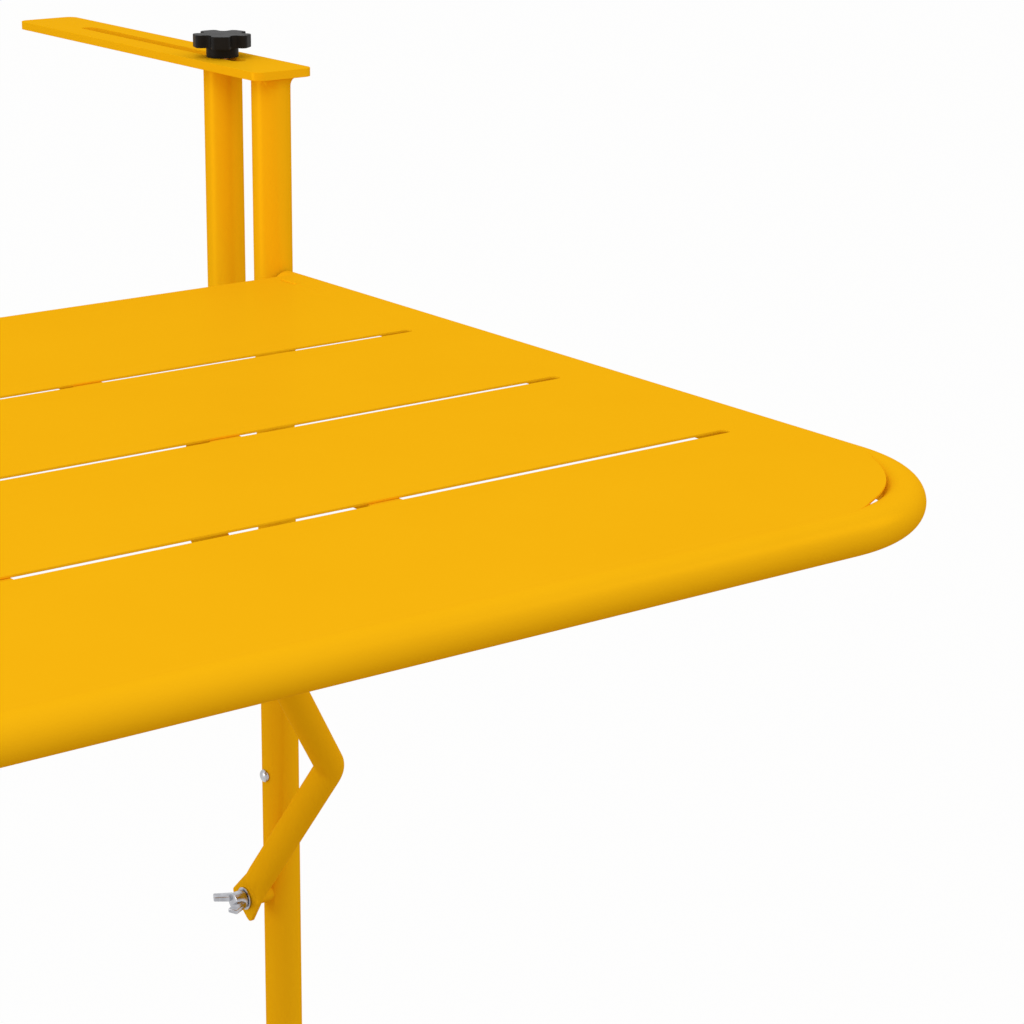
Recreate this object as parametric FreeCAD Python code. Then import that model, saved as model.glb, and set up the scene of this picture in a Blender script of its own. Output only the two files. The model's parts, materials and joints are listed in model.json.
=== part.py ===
import FreeCAD, Part
import math
import os
from FreeCAD import Vector

# Balcony railing bar table, in millimetres.
# Two posts hang from flat straps that lie over the railing. A slotted sheet top on a bent tube frame
# turns on rivets in the posts and stands on two bent stays. A clamp tube behind each post closes on
# the railing.
# X runs along the railing, Y towards it and Z up. The origin is half way along the table, at the
# railing side of the posts and the underside of the straps.

# Table top
TOP_LENGTH = 600.0            # over the outer sides of the side tubes
TOP_REACH = 412.0             # from the railing side of the posts to the front edge
TOP_DROP = 79.0               # from the straps' underside down to the table surface
FRAME_TUBE = 14.0             # outer diameter of the tube round the top
TUBE_WALL = 1.2               # wall of every steel tube
FRONT_BEND = 53.0             # bend radius of the front corners, on the tube's middle line
BACK_RAIL_GAP = 2.7           # from the posts' front to the back rail
SHEET = 1.0                   # thickness of the sheet top
SHEET_LAP = 1.0               # how far the sheet's edge stops short of the tube's crest
SHEET_CORNER = 62.5           # front corner radius of the sheet, slacker than the tube's
SLOT_WIDTH = 4.0
SLOT_END = 27.4               # from the outer side of the table to the slots' ends
SLOT_ROWS = (100.0, 190.0, 279.0)    # from the front edge to each slot
CROSSBAR_WIDTH = 12.0
CROSSBAR_THICK = 3.0
CROSSBAR_PITCH = 134.0        # from the middle crossbar to the outer ones

# Posts, straps and the tie between the posts
POST = 16.0                   # outer diameter of the posts
POST_LENGTH = 470.0
STRAP_WIDTH = 28.0
STRAP_THICK = 3.5
STRAP_FRONT = 3.0             # how far a strap reaches ahead of its post
STRAP_BACK = 176.0            # from the railing side of the post to the strap's far end
STRAP_CORNER = 4.5
STRAP_SLOT_WIDTH = 6.5
STRAP_SLOT_NEAR = 13.0        # from the railing side of the post to the slot's near end
STRAP_SLOT_FAR = 140.0
WELD_LEG = 4.2                # leg of the weld between a post and its strap
WELD_FROM = -150.0            # the weld runs round the front of the post, between these angles
WELD_TO = 25.0
TIE_TUBE = 14.0
TIE_DROP = 93.0               # from the table surface to the tie's middle line
CAP_HEAD = 2.5                # thickness of the caps' heads
CAP_DEPTH = 12.0              # how far a cap or plug goes into its tube
CAP_FIT = 0.05                # play of a cap's neck in its tube, on the radius

# Clamp under each strap
RAIL_GAP = 20.0               # from the post to the clamp tube, as the table is shown
CLAMP_TUBE = 16.0
CLAMP_LENGTH = 105.0
SLIDE_GAP = 0.15              # play between the clamp and the strap, above and below
STUD = 6.0                    # M6 stud
STUD_RISE = 7.0               # how far the stud stands above the strap
BUSH = 9.0                    # outer diameter of the knob's brass bush
BUSH_HEIGHT = 6.0
THREAD_PLAY = 0.05            # play of a screwed pair, on the radius
KNOB = 23.8                   # over the knob's lobes
KNOB_HUB = 13.4
KNOB_HUB_HEIGHT = 4.2
KNOB_THICK = 5.3              # height of the lobed part
KNOB_LOBES = 5
KNOB_LOBE_WIDTH = 8.0
KNOB_LOBE_ROUND = 2.2         # round of a lobe's corners
KNOB_VALLEY_ROUND = 2.0       # round of the valley between two lobes
KNOB_TURN = 28.0              # direction of the first lobe, from +X

# Hinge of the top
HINGE_DROP = 26.0             # from the table surface to the hinge line
HINGE_PIN = 5.0
PIN_PLAY = 0.05               # play of a pin in what turns on it, on the radius
EAR_THICK = 3.0
EAR_EYE = 7.5                 # radius of the ear round its pin
EAR_LENGTH = 28.0             # length of the ear's seat along the sheet
EAR_INNER_ROUND = 1.0         # round of the ear's inner corner, below the back rail
WASHER_THICK = 0.6
WASHER_RADIUS = 5.5
FACE_GAP = 0.1                # play between flat faces that turn on each other
RIVET_HEAD = 2.3              # height of a domed rivet head
RIVET_HEAD_RADIUS = 4.6
RIM_SHARE = 0.25              # share of a domed head's height that is its straight rim
TUBE_END_GAP = 1.5            # from the end of a side tube to its post

# Stays
STAY_TUBE = 12.5
STAY_CLEAR = 3.7              # from a stay to the inner side of its post
STAY_FOOT_DROP = 278.0        # from the table surface to the foot screw
STAY_PIN_DROP = 23.0          # from the table surface to the upper pin
STAY_PIN_REACH = 202.5        # from the middle of the posts to the upper pin
STAY_LOWER_ARM = 104.6        # from the foot screw to the bend
STAY_BEND = 20.0              # bend radius, on the tube's middle line
LUG_THICK = 2.4               # both walls of the tube, pressed flat
LUG_WIDTH = 17.8
PRESS_END_ROUND = 3.0         # round of the half-pressed tube at its narrow sides
FLAT_END_SHARE = 0.9          # round of the flat's narrow sides, as a share of half its thickness
FOOT_END = 6.5                # from the foot screw to the square end of the foot
FOOT_CORNER = 1.5
FOOT_FLAT = 7.5               # from the foot screw to where the flat ends
FOOT_BLEND = 14.0             # length over which the foot goes from round to flat
HEAD_END = 8.0                # from the upper pin to the end of the stay
HEAD_CORNER = 4.0
HEAD_FLAT = 12.0              # from the upper pin to where the flat ends
HEAD_BLEND = 14.0             # length over which the upper end goes from round to flat
BRACKET_SHEET = 2.0
BRACKET_WIDTH = 20.0
BRACKET_EYE = 8.0             # from the pin to the bracket's lower edge
BRACKET_CORNER = 6.0
STAY_PIN = 5.0
STAY_PIN_HEAD = 1.4
STAY_PIN_HEAD_RADIUS = 4.0

# Foot screw of each stay, and the boss that it is screwed to
SCREW = 5.0                   # M5
BOSS_RADIUS = 4.2
BOSS_DEPTH = 7.0              # how far the boss reaches into the post
FOOT_WASHER_RADIUS = 5.0
FOOT_WASHER_THICK = 1.0
WING_HUB_RADIUS = 4.0
WING_HUB_HEIGHT = 5.5
WING_SPAN = 7.7               # from the screw's line to the middle of a wing's tip
WING_REACH = 10.5             # from the washer out to the middle of a wing's tip
WING_WIDTH = 4.4
WING_LENGTH = 6.8             # from a wing's tip back to the hub
WING_SWEEP = 27.6             # slope of a wing to the screw's line
WING_ROOT = 1.5               # where a wing starts, from the washer and from the screw's line
WING_ROUND = 1.2
WING_THICK = 2.0
WING_TURN = 11.0              # the wings' slope, seen along X
STOP_DROP = 223.4             # from the table surface to the stop rivet
STOP_HEAD = 1.8
STOP_HEAD_RADIUS = 2.8
STOP_SHANK_RADIUS = 1.6
STOP_SHANK_DEPTH = 5.0

# Places that follow from the sizes
TOP_Z = -TOP_DROP
POST_X = (TOP_LENGTH - FRAME_TUBE) / 2
POST_Y = -POST / 2
FRAME_Z = TOP_Z - FRAME_TUBE / 2
FRONT_Y = -TOP_REACH + FRAME_TUBE / 2
BACK_RAIL_Y = -POST - BACK_RAIL_GAP - FRAME_TUBE / 2
SHEET_UNDER = TOP_Z - SHEET
CROSSBAR_UNDER = SHEET_UNDER - CROSSBAR_THICK
CLAMP_Y = RAIL_GAP + CLAMP_TUBE / 2
HINGE_Z = TOP_Z - HINGE_DROP
TIE_Z = TOP_Z - TIE_DROP
STAY_X = POST_X - POST / 2 - STAY_CLEAR - STAY_TUBE / 2
STAY_FOOT_Z = TOP_Z - STAY_FOOT_DROP
STAY_PIN_X = CROSSBAR_PITCH
STAY_PIN_Y = POST_Y - STAY_PIN_REACH
STAY_PIN_Z = TOP_Z - STAY_PIN_DROP
STAY_LENGTH = math.hypot(STAY_PIN_REACH, STAY_PIN_Z - STAY_FOOT_Z)
STAY_TILT = math.degrees(math.atan2(STAY_PIN_REACH, STAY_PIN_Z - STAY_FOOT_Z))

AXIS_X = Vector(1, 0, 0)
AXIS_Y = Vector(0, 1, 0)
AXIS_Z = Vector(0, 0, 1)


def rod(start, direction, length, diameter):
    """A round bar from a point along a direction."""
    return Part.makeCylinder(diameter / 2, length, start, direction)


def tube(start, direction, length, diameter, wall=TUBE_WALL):
    """A straight round tube, open at both ends."""
    outside = rod(start, direction, length, diameter)
    return outside.cut(rod(start, direction, length, diameter - 2 * wall))


def bent_rod(points, radius, diameter):
    """A round bar in straight runs through the points, joined by bends of one radius."""
    runs = []
    start = points[0]
    for before, corner, after in zip(points, points[1:], points[2:]):
        back = (before - corner).normalize()
        on = (after - corner).normalize()
        turn = math.pi - back.getAngle(on)
        inset = radius * math.tan(turn / 2)
        first = corner + back * inset
        centre = corner + (back + on).normalize() * (radius / math.cos(turn / 2))
        disc = Part.Face(Part.Wire([Part.Circle(first, back, diameter / 2).toShape()]))
        runs.append(rod(start, first - start, (first - start).Length, diameter))
        runs.append(disc.revolve(centre, on.cross(back), math.degrees(turn)))
        start = corner + on * inset
    end = points[-1]
    runs.append(rod(start, end - start, (end - start).Length, diameter))
    return runs[0].fuse(runs[1:])


def bent_tube(points, radius, diameter):
    """A round tube bent through the points, open at both ends."""
    outside = bent_rod(points, radius, diameter)
    return outside.cut(bent_rod(points, radius, diameter - 2 * TUBE_WALL))


def outline(points, radii):
    """A closed flat wire through the points, each corner rounded by its own radius, or square at 0."""
    count = len(points)
    edges = []
    previous = None
    opening = None
    for index, corner in enumerate(points):
        back = (points[index - 1] - corner).normalize()
        on = (points[(index + 1) % count] - corner).normalize()
        radius = radii[index]
        half_turn = (math.pi - back.getAngle(on)) / 2
        inset = radius * math.tan(half_turn)
        first = corner + back * inset
        last = corner + on * inset
        if previous is None:
            opening = first
        else:
            edges.append(Part.LineSegment(previous, first).toShape())
        if radius > 0:
            bisector = (back + on).normalize()
            middle = corner + bisector * (radius / math.cos(half_turn) - radius)
            edges.append(Part.Arc(first, middle, last).toShape())
        previous = last
    edges.append(Part.LineSegment(previous, opening).toShape())
    return Part.Wire(edges)


def plate(points, radii, thickness):
    """A plate with the outline as its lower face, thickened along the vector."""
    return Part.Face(outline(points, radii)).extrude(thickness)


def slot_cutter(start, end, width, depth):
    """A round-ended slot between two points, cut downwards from their level."""
    along = (end - start).normalize()
    side = along.cross(AXIS_Z) * (width / 2)
    body = plate([start + side, end + side, end - side, start - side], [0, 0, 0, 0], AXIS_Z * -depth)
    for point in (start, end):
        body = body.fuse(rod(point, AXIS_Z * -1, depth, width))
    return body.removeSplitter()


def dome(base, direction, radius, height):
    """A domed rivet head that stands on a point and faces along X."""
    rim = height * RIM_SHARE
    ball = (radius ** 2 + (height - rim) ** 2) / (2 * (height - rim))
    half_turn = math.asin(radius / ball) / 2

    def place(out, up):
        return base + AXIS_Z * out + direction * up

    rim_top = place(radius, rim)
    crest = place(0, height)
    shoulder = place(ball * math.sin(half_turn), height - ball + ball * math.cos(half_turn))
    profile = Part.Wire([
        Part.LineSegment(base, place(radius, 0)).toShape(),
        Part.LineSegment(place(radius, 0), rim_top).toShape(),
        Part.Arc(rim_top, shoulder, crest).toShape(),
        Part.LineSegment(crest, base).toShape(),
    ])
    return Part.Face(profile).revolve(base, direction, 360)


def mirrored(shape, side):
    """The right-hand shape, or its mirror image on the left."""
    return shape if side == "right" else shape.mirror(Vector(0, 0, 0), AXIS_X)


def frame_points():
    """The middle line of the tube round the table, from the right post round the front to the left."""
    end_y = -POST - TUBE_END_GAP
    return [
        Vector(POST_X, end_y, FRAME_Z),
        Vector(POST_X, FRONT_Y, FRAME_Z),
        Vector(-POST_X, FRONT_Y, FRAME_Z),
        Vector(-POST_X, end_y, FRAME_Z),
    ]


def frame_tube():
    """The tube round the front and the sides, bent at the two front corners."""
    return bent_tube(frame_points(), FRONT_BEND, FRAME_TUBE)


def frame_envelope():
    """The frame tube filled solid, to fit what is welded to it."""
    return bent_rod(frame_points(), FRONT_BEND, FRAME_TUBE)


def back_rail_envelope():
    return rod(Vector(-POST_X, BACK_RAIL_Y, FRAME_Z), AXIS_X, 2 * POST_X, FRAME_TUBE)


def back_rail():
    """The tube along the back edge, its ends cut to sit against the side tubes."""
    rail = tube(Vector(-POST_X, BACK_RAIL_Y, FRAME_Z), AXIS_X, 2 * POST_X, FRAME_TUBE)
    return rail.cut(frame_envelope())


def top_panel():
    """The sheet: square at the back, round at the front, with a row of long slots."""
    edge_x = POST_X - SHEET_LAP
    front = FRONT_Y + SHEET_LAP
    back = BACK_RAIL_Y - SHEET_LAP
    corners = [
        Vector(edge_x, front, TOP_Z),
        Vector(edge_x, back, TOP_Z),
        Vector(-edge_x, back, TOP_Z),
        Vector(-edge_x, front, TOP_Z),
    ]
    panel = plate(corners, [SHEET_CORNER, 0, 0, SHEET_CORNER], AXIS_Z * -SHEET)
    slot_x = TOP_LENGTH / 2 - SLOT_END - SLOT_WIDTH / 2
    for row in SLOT_ROWS:
        y = -TOP_REACH + row
        slot = slot_cutter(Vector(-slot_x, y, TOP_Z), Vector(slot_x, y, TOP_Z), SLOT_WIDTH, SHEET)
        panel = panel.cut(slot)
    return panel.cut(frame_envelope()).cut(back_rail_envelope())


def crossbar(x):
    """A flat bar under the sheet, from the front tube to the back rail."""
    half = CROSSBAR_WIDTH / 2
    bar = plate(
        [
            Vector(x - half, FRONT_Y, SHEET_UNDER),
            Vector(x + half, FRONT_Y, SHEET_UNDER),
            Vector(x + half, BACK_RAIL_Y, SHEET_UNDER),
            Vector(x - half, BACK_RAIL_Y, SHEET_UNDER),
        ],
        [0, 0, 0, 0],
        AXIS_Z * -CROSSBAR_THICK,
    )
    return bar.cut(frame_envelope()).cut(back_rail_envelope())


def ear_face():
    """X of the ear's outer face, beside the washer on the post."""
    return POST_X - POST / 2 - WASHER_THICK - FACE_GAP


def hinge_ear():
    """The plate under the sheet that passes below the back rail to the rivet in the post."""
    x = ear_face() - EAR_THICK
    rail_front = BACK_RAIL_Y - FRAME_TUBE / 2
    seat_back = rail_front - EAR_LENGTH
    eye = Vector(x, POST_Y, HINGE_Z)
    below_rail = HINGE_Z + EAR_EYE
    web = plate(
        [
            Vector(x, rail_front, SHEET_UNDER),
            Vector(x, seat_back, SHEET_UNDER),
            Vector(x, rail_front, HINGE_Z - EAR_EYE),
            Vector(x, POST_Y, HINGE_Z - EAR_EYE),
            Vector(x, POST_Y, below_rail),
            Vector(x, rail_front, below_rail),
        ],
        [0, 0, EAR_EYE, 0, 0, EAR_INNER_ROUND],
        AXIS_X * EAR_THICK,
    )
    ear = web.fuse(rod(eye, AXIS_X, EAR_THICK, 2 * EAR_EYE)).removeSplitter()
    hole = rod(eye, AXIS_X, EAR_THICK, HINGE_PIN + 2 * PIN_PLAY)
    return ear.cut(hole)


def hinge_pin():
    """The rivet through post and ear, with a domed head outside and a flat head inside."""
    inner_face = ear_face() - EAR_THICK - FACE_GAP
    outer_face = POST_X + POST / 2
    start = Vector(inner_face, POST_Y, HINGE_Z)
    shank = rod(start, AXIS_X, outer_face - inner_face, HINGE_PIN)
    outer_head = dome(Vector(outer_face, POST_Y, HINGE_Z), AXIS_X, RIVET_HEAD_RADIUS, RIVET_HEAD)
    inner_head = rod(start, AXIS_X * -1, RIVET_HEAD, 2 * RIVET_HEAD_RADIUS)
    return shank.fuse([outer_head, inner_head]).removeSplitter()


def hinge_washer():
    """The thin washer that keeps the ear off the post."""
    start = Vector(POST_X - POST / 2 - WASHER_THICK, POST_Y, HINGE_Z)
    disc = rod(start, AXIS_X, WASHER_THICK, 2 * WASHER_RADIUS)
    return disc.cut(rod(start, AXIS_X, WASHER_THICK, HINGE_PIN))


def stay_bracket():
    """The channel under an outer crossbar, with a cheek on each side of the stay's upper lug."""
    inner_half = LUG_THICK / 2 + FACE_GAP
    outer_half = inner_half + BRACKET_SHEET
    half_width = BRACKET_WIDTH / 2
    outer_x = STAY_PIN_X - outer_half
    foot = STAY_PIN_Z - BRACKET_EYE
    gap_top = CROSSBAR_UNDER - BRACKET_SHEET
    channel = plate(
        [
            Vector(outer_x, STAY_PIN_Y - half_width, CROSSBAR_UNDER),
            Vector(outer_x, STAY_PIN_Y + half_width, CROSSBAR_UNDER),
            Vector(outer_x, STAY_PIN_Y + BRACKET_EYE, foot),
            Vector(outer_x, STAY_PIN_Y - BRACKET_EYE, foot),
        ],
        [0, 0, BRACKET_CORNER, BRACKET_CORNER],
        AXIS_X * (2 * outer_half),
    )
    gap_corner = Vector(STAY_PIN_X - inner_half, STAY_PIN_Y - half_width, foot)
    gap = Part.makeBox(2 * inner_half, BRACKET_WIDTH, gap_top - foot, gap_corner)
    pin_hole = rod(Vector(outer_x, STAY_PIN_Y, STAY_PIN_Z), AXIS_X, 2 * outer_half, STAY_PIN)
    return channel.cut(gap).cut(pin_hole)


def stay_pin():
    """The flat-headed rivet across the bracket that the stay turns on."""
    half = LUG_THICK / 2 + FACE_GAP + BRACKET_SHEET
    left = Vector(STAY_PIN_X - half, STAY_PIN_Y, STAY_PIN_Z)
    right = Vector(STAY_PIN_X + half, STAY_PIN_Y, STAY_PIN_Z)
    shank = rod(left, AXIS_X, 2 * half, STAY_PIN)
    left_head = rod(left, AXIS_X * -1, STAY_PIN_HEAD, 2 * STAY_PIN_HEAD_RADIUS)
    right_head = rod(right, AXIS_X, STAY_PIN_HEAD, 2 * STAY_PIN_HEAD_RADIUS)
    return shank.fuse([left_head, right_head]).removeSplitter()


def oval(centre, normal, half_thick, half_width, end_round):
    """A closed section of two broad and two narrow arcs, its width along Y; a circle if all are equal."""
    across = AXIS_Y.cross(normal).normalize()
    if end_round < half_thick:
        reach = half_width - end_round
        broad = (half_thick ** 2 - end_round ** 2 + reach ** 2) / (2 * (half_thick - end_round))
        turn = math.atan2(reach, broad - half_thick)
    else:
        broad = half_thick
        reach = 0
        turn = math.pi / 4
    corner_thick = end_round * math.cos(turn)
    corner_width = reach + end_round * math.sin(turn)

    def place(thick, width):
        return centre + across * thick + AXIS_Y * width

    corners = [
        place(corner_thick, -corner_width),
        place(corner_thick, corner_width),
        place(-corner_thick, corner_width),
        place(-corner_thick, -corner_width),
    ]
    crests = [place(half_thick, 0), place(0, half_width), place(-half_thick, 0), place(0, -half_width)]
    arcs = []
    for index, crest in enumerate(crests):
        arcs.append(Part.Arc(corners[index], crest, corners[(index + 1) % 4]).toShape())
    return Part.Wire(arcs)


def pressed_end(flat_centre, round_centre, round_normal):
    """The length over which the stay's tube goes from round to flat."""
    radius = STAY_TUBE / 2
    flat_half = LUG_THICK / 2
    middle = (flat_centre + round_centre) * 0.5
    middle_normal = (AXIS_Z + round_normal).normalize()
    middle_thick = (radius + flat_half) / 2
    middle_width = (radius + LUG_WIDTH / 2) / 2
    sections = [
        oval(round_centre, round_normal, radius, radius, radius),
        oval(middle, middle_normal, middle_thick, middle_width, PRESS_END_ROUND),
        oval(flat_centre, AXIS_Z, flat_half, LUG_WIDTH / 2, flat_half * FLAT_END_SHARE),
    ]
    return Part.makeLoft(sections, True, True)


def lug(x, low, high, corners):
    """A flat end of the stay, its width along Y and its length along Z."""
    half = LUG_WIDTH / 2
    start = x - LUG_THICK / 2
    low_front = Vector(start, -half, low)
    low_back = Vector(start, half, low)
    high_back = Vector(start, half, high)
    high_front = Vector(start, -half, high)
    return plate([low_front, low_back, high_back, high_front], corners, AXIS_X * LUG_THICK)


def stay():
    """The stay, first drawn upright above its foot screw, then leant to the table's underside."""
    foot_neck = Vector(STAY_X, 0, FOOT_FLAT)
    foot_round = Vector(STAY_X, 0, FOOT_FLAT + FOOT_BLEND)
    bend = Vector(STAY_X, 0, STAY_LOWER_ARM)
    head_neck = Vector(STAY_PIN_X, 0, STAY_LENGTH - HEAD_FLAT)
    slant = (head_neck - bend).normalize()
    head_round = head_neck - slant * HEAD_BLEND
    arms = bent_tube([foot_round, bend, head_round], STAY_BEND, STAY_TUBE)
    foot = lug(STAY_X, -FOOT_END, foot_neck.z, [FOOT_CORNER, FOOT_CORNER, 0, 0])
    head = lug(STAY_PIN_X, head_neck.z, STAY_LENGTH + HEAD_END, [0, 0, HEAD_CORNER, HEAD_CORNER])
    foot_press = pressed_end(foot_neck, foot_round, AXIS_Z)
    head_press = pressed_end(head_neck, head_round, slant)
    whole = arms.fuse([foot_press, head_press, foot, head])
    foot_hole = rod(
        Vector(STAY_X - LUG_THICK / 2, 0, 0), AXIS_X, LUG_THICK, SCREW + 2 * THREAD_PLAY
    )
    head_hole = rod(
        Vector(STAY_PIN_X - LUG_THICK / 2, 0, STAY_LENGTH), AXIS_X, LUG_THICK, STAY_PIN + 2 * PIN_PLAY
    )
    whole = whole.cut(foot_hole).cut(head_hole)
    whole.rotate(Vector(0, 0, 0), AXIS_X, STAY_TILT)
    whole.translate(Vector(0, POST_Y, STAY_FOOT_Z))
    return whole


def foot_face():
    """X of the foot's inner face, where the washer lies."""
    return STAY_X - LUG_THICK / 2


def foot_washer():
    start = Vector(foot_face(), POST_Y, STAY_FOOT_Z)
    disc = rod(start, AXIS_X * -1, FOOT_WASHER_THICK, 2 * FOOT_WASHER_RADIUS)
    return disc.cut(rod(start, AXIS_X * -1, FOOT_WASHER_THICK, SCREW + 2 * THREAD_PLAY))


def wing(sign):
    """One wing of the screw, swept outwards, on either side of the screw's line."""
    low = -WING_THICK / 2
    sweep = math.radians(WING_SWEEP)
    along = Vector(-math.cos(sweep), sign * math.sin(sweep), 0)
    across = Vector(math.sin(sweep), sign * math.cos(sweep), 0) * (WING_WIDTH / 2)
    tip = Vector(-WING_REACH, sign * WING_SPAN, low)
    inner_neck = tip - across - along * WING_LENGTH
    points = [
        Vector(-WING_ROOT, sign * WING_ROOT, low),
        Vector(-WING_ROOT, sign * WING_HUB_RADIUS, low),
        tip + across,
        tip - across,
        inner_neck,
        Vector(inner_neck.x, sign * WING_ROOT, low),
    ]
    return plate(points, [0, 0, WING_ROUND, WING_ROUND, 0, 0], AXIS_Z * WING_THICK)


def wing_screw():
    """The screw with two swept wings that a hand turns to clamp the foot."""
    base = Vector(0, 0, 0)
    seat = foot_face() - FOOT_WASHER_THICK - FACE_GAP
    hub = rod(base, AXIS_X * -1, WING_HUB_HEIGHT, 2 * WING_HUB_RADIUS)
    shank = rod(base, AXIS_X, FACE_GAP + FOOT_WASHER_THICK + LUG_THICK, SCREW)
    screw = hub.fuse([wing(1), wing(-1), shank]).removeSplitter()
    screw.rotate(base, AXIS_X, WING_TURN)
    screw.translate(Vector(seat, POST_Y, STAY_FOOT_Z))
    return screw


def stay_boss():
    """The threaded boss in the post's inner side that the foot is clamped against."""
    face = STAY_X + LUG_THICK / 2 + FACE_GAP
    start = Vector(face, POST_Y, STAY_FOOT_Z)
    length = POST_X - POST / 2 - face + BOSS_DEPTH
    return rod(start, AXIS_X, length, 2 * BOSS_RADIUS).cut(rod(start, AXIS_X, length, SCREW))


def stop_rivet():
    """The domed rivet above the boss, on the post's inner side."""
    post_side = Vector(POST_X - POST / 2, POST_Y, TOP_Z - STOP_DROP)
    head = dome(post_side, AXIS_X * -1, STOP_HEAD_RADIUS, STOP_HEAD)
    shank = rod(post_side, AXIS_X, STOP_SHANK_DEPTH, 2 * STOP_SHANK_RADIUS)
    return head.fuse(shank).removeSplitter()


def post():
    """The post, with its holes for the hinge rivet, the stop rivet and the boss."""
    body = tube(Vector(POST_X, POST_Y, 0), AXIS_Z * -1, POST_LENGTH, POST)
    side = POST_X - POST / 2
    holes = [
        rod(Vector(side, POST_Y, HINGE_Z), AXIS_X, POST, HINGE_PIN),
        rod(Vector(side, POST_Y, TOP_Z - STOP_DROP), AXIS_X, POST / 2, 2 * STOP_SHANK_RADIUS),
        rod(Vector(side, POST_Y, STAY_FOOT_Z), AXIS_X, POST / 2, 2 * BOSS_RADIUS),
    ]
    return body.cut(holes)


def tie_tube():
    """The tube between the posts, its ends cut to sit against them."""
    tie = tube(Vector(-POST_X, POST_Y, TIE_Z), AXIS_X, 2 * POST_X, TIE_TUBE)
    for side in (-1, 1):
        tie = tie.cut(rod(Vector(side * POST_X, POST_Y, 0), AXIS_Z * -1, POST_LENGTH, POST))
    return tie


def strap():
    """The flat strap on top of the post, with the clamp's slot."""
    half = STRAP_WIDTH / 2
    front = -POST - STRAP_FRONT
    bar = plate(
        [
            Vector(POST_X - half, front, 0),
            Vector(POST_X + half, front, 0),
            Vector(POST_X + half, STRAP_BACK, 0),
            Vector(POST_X - half, STRAP_BACK, 0),
        ],
        [STRAP_CORNER] * 4,
        AXIS_Z * STRAP_THICK,
    )
    round_end = STRAP_SLOT_WIDTH / 2
    near = Vector(POST_X, STRAP_SLOT_NEAR + round_end, STRAP_THICK)
    far = Vector(POST_X, STRAP_SLOT_FAR - round_end, STRAP_THICK)
    return bar.cut(slot_cutter(near, far, STRAP_SLOT_WIDTH, STRAP_THICK))


def strap_weld():
    """The fillet weld round the front of the post, under the strap."""
    inner = POST / 2
    corner = Vector(inner, 0, 0)
    below = Vector(inner, 0, -WELD_LEG)
    outer = Vector(inner + WELD_LEG, 0, 0)
    section = Part.makePolygon([corner, below, outer, corner])
    bead = Part.Face(section).revolve(Vector(0, 0, 0), AXIS_Z, WELD_TO - WELD_FROM)
    bead.rotate(Vector(0, 0, 0), AXIS_Z, WELD_FROM)
    bead.translate(Vector(POST_X, POST_Y, 0))
    front = -POST - STRAP_FRONT
    corner = Vector(POST_X - STRAP_WIDTH / 2, front, -WELD_LEG)
    under_strap = Part.makeBox(STRAP_WIDTH, -front, WELD_LEG, corner)
    return bead.common(under_strap)


def tube_cap(x, y, end_z, outer_diameter):
    """A pushed-in plastic cap in the lower end of a tube."""
    end = Vector(x, y, end_z)
    head = rod(end, AXIS_Z * -1, CAP_HEAD, outer_diameter)
    neck = rod(end, AXIS_Z, CAP_DEPTH, outer_diameter - 2 * (TUBE_WALL + CAP_FIT))
    return head.fuse(neck).removeSplitter()


def clamp_tube():
    return tube(Vector(POST_X, CLAMP_Y, -SLIDE_GAP), AXIS_Z * -1, CLAMP_LENGTH, CLAMP_TUBE)


def clamp_plug():
    """The steel plug in the clamp tube's upper end, tapped for the stud."""
    top = Vector(POST_X, CLAMP_Y, -SLIDE_GAP)
    body = rod(top, AXIS_Z * -1, CAP_DEPTH, CLAMP_TUBE - 2 * TUBE_WALL)
    return body.cut(rod(top, AXIS_Z * -1, CAP_DEPTH, STUD))


def clamp_stud():
    """The stud from the plug, up through the strap's slot and into the knob."""
    bottom = Vector(POST_X, CLAMP_Y, -SLIDE_GAP - CAP_DEPTH)
    return rod(bottom, AXIS_Z, SLIDE_GAP + CAP_DEPTH + STRAP_THICK + STUD_RISE, STUD)


def knob_seat():
    return Vector(POST_X, CLAMP_Y, STRAP_THICK + SLIDE_GAP)


def knob_bush():
    """The threaded brass bush that the knob is moulded round."""
    body = rod(knob_seat(), AXIS_Z, BUSH_HEIGHT, BUSH)
    return body.cut(rod(knob_seat(), AXIS_Z, BUSH_HEIGHT, STUD + 2 * THREAD_PLAY))


def knob_outline():
    """Corner points of the knob's lobes and the valleys between them, with the rounds of each."""
    half_width = KNOB_LOBE_WIDTH / 2
    half_pitch = math.pi / KNOB_LOBES
    valley_reach = half_width / math.sin(half_pitch)
    points = []
    rounds = []
    for index in range(KNOB_LOBES):
        angle = 2 * half_pitch * index
        out = Vector(math.cos(angle), math.sin(angle), 0)
        across = Vector(-math.sin(angle), math.cos(angle), 0)
        tip = out * (KNOB / 2)
        valley = Vector(math.cos(angle + half_pitch), math.sin(angle + half_pitch), 0) * valley_reach
        points += [tip - across * half_width, tip + across * half_width, valley]
        rounds += [KNOB_LOBE_ROUND, KNOB_LOBE_ROUND, KNOB_VALLEY_ROUND]
    return points, rounds


def knob():
    """The star knob: round hub below, lobed grip above."""
    base = Vector(0, 0, 0)
    points, rounds = knob_outline()
    grip = plate(points, rounds, AXIS_Z * KNOB_THICK)
    grip.translate(AXIS_Z * KNOB_HUB_HEIGHT)
    body = grip.fuse(rod(base, AXIS_Z, KNOB_HUB_HEIGHT, KNOB_HUB)).removeSplitter()
    socket = rod(base, AXIS_Z, BUSH_HEIGHT, BUSH)
    stud_room = rod(base, AXIS_Z, STUD_RISE + 2 * THREAD_PLAY, STUD + 2 * THREAD_PLAY)
    body = body.cut(socket.fuse(stud_room).removeSplitter())
    body.rotate(base, AXIS_Z, KNOB_TURN)
    body.translate(knob_seat())
    return body


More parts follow.
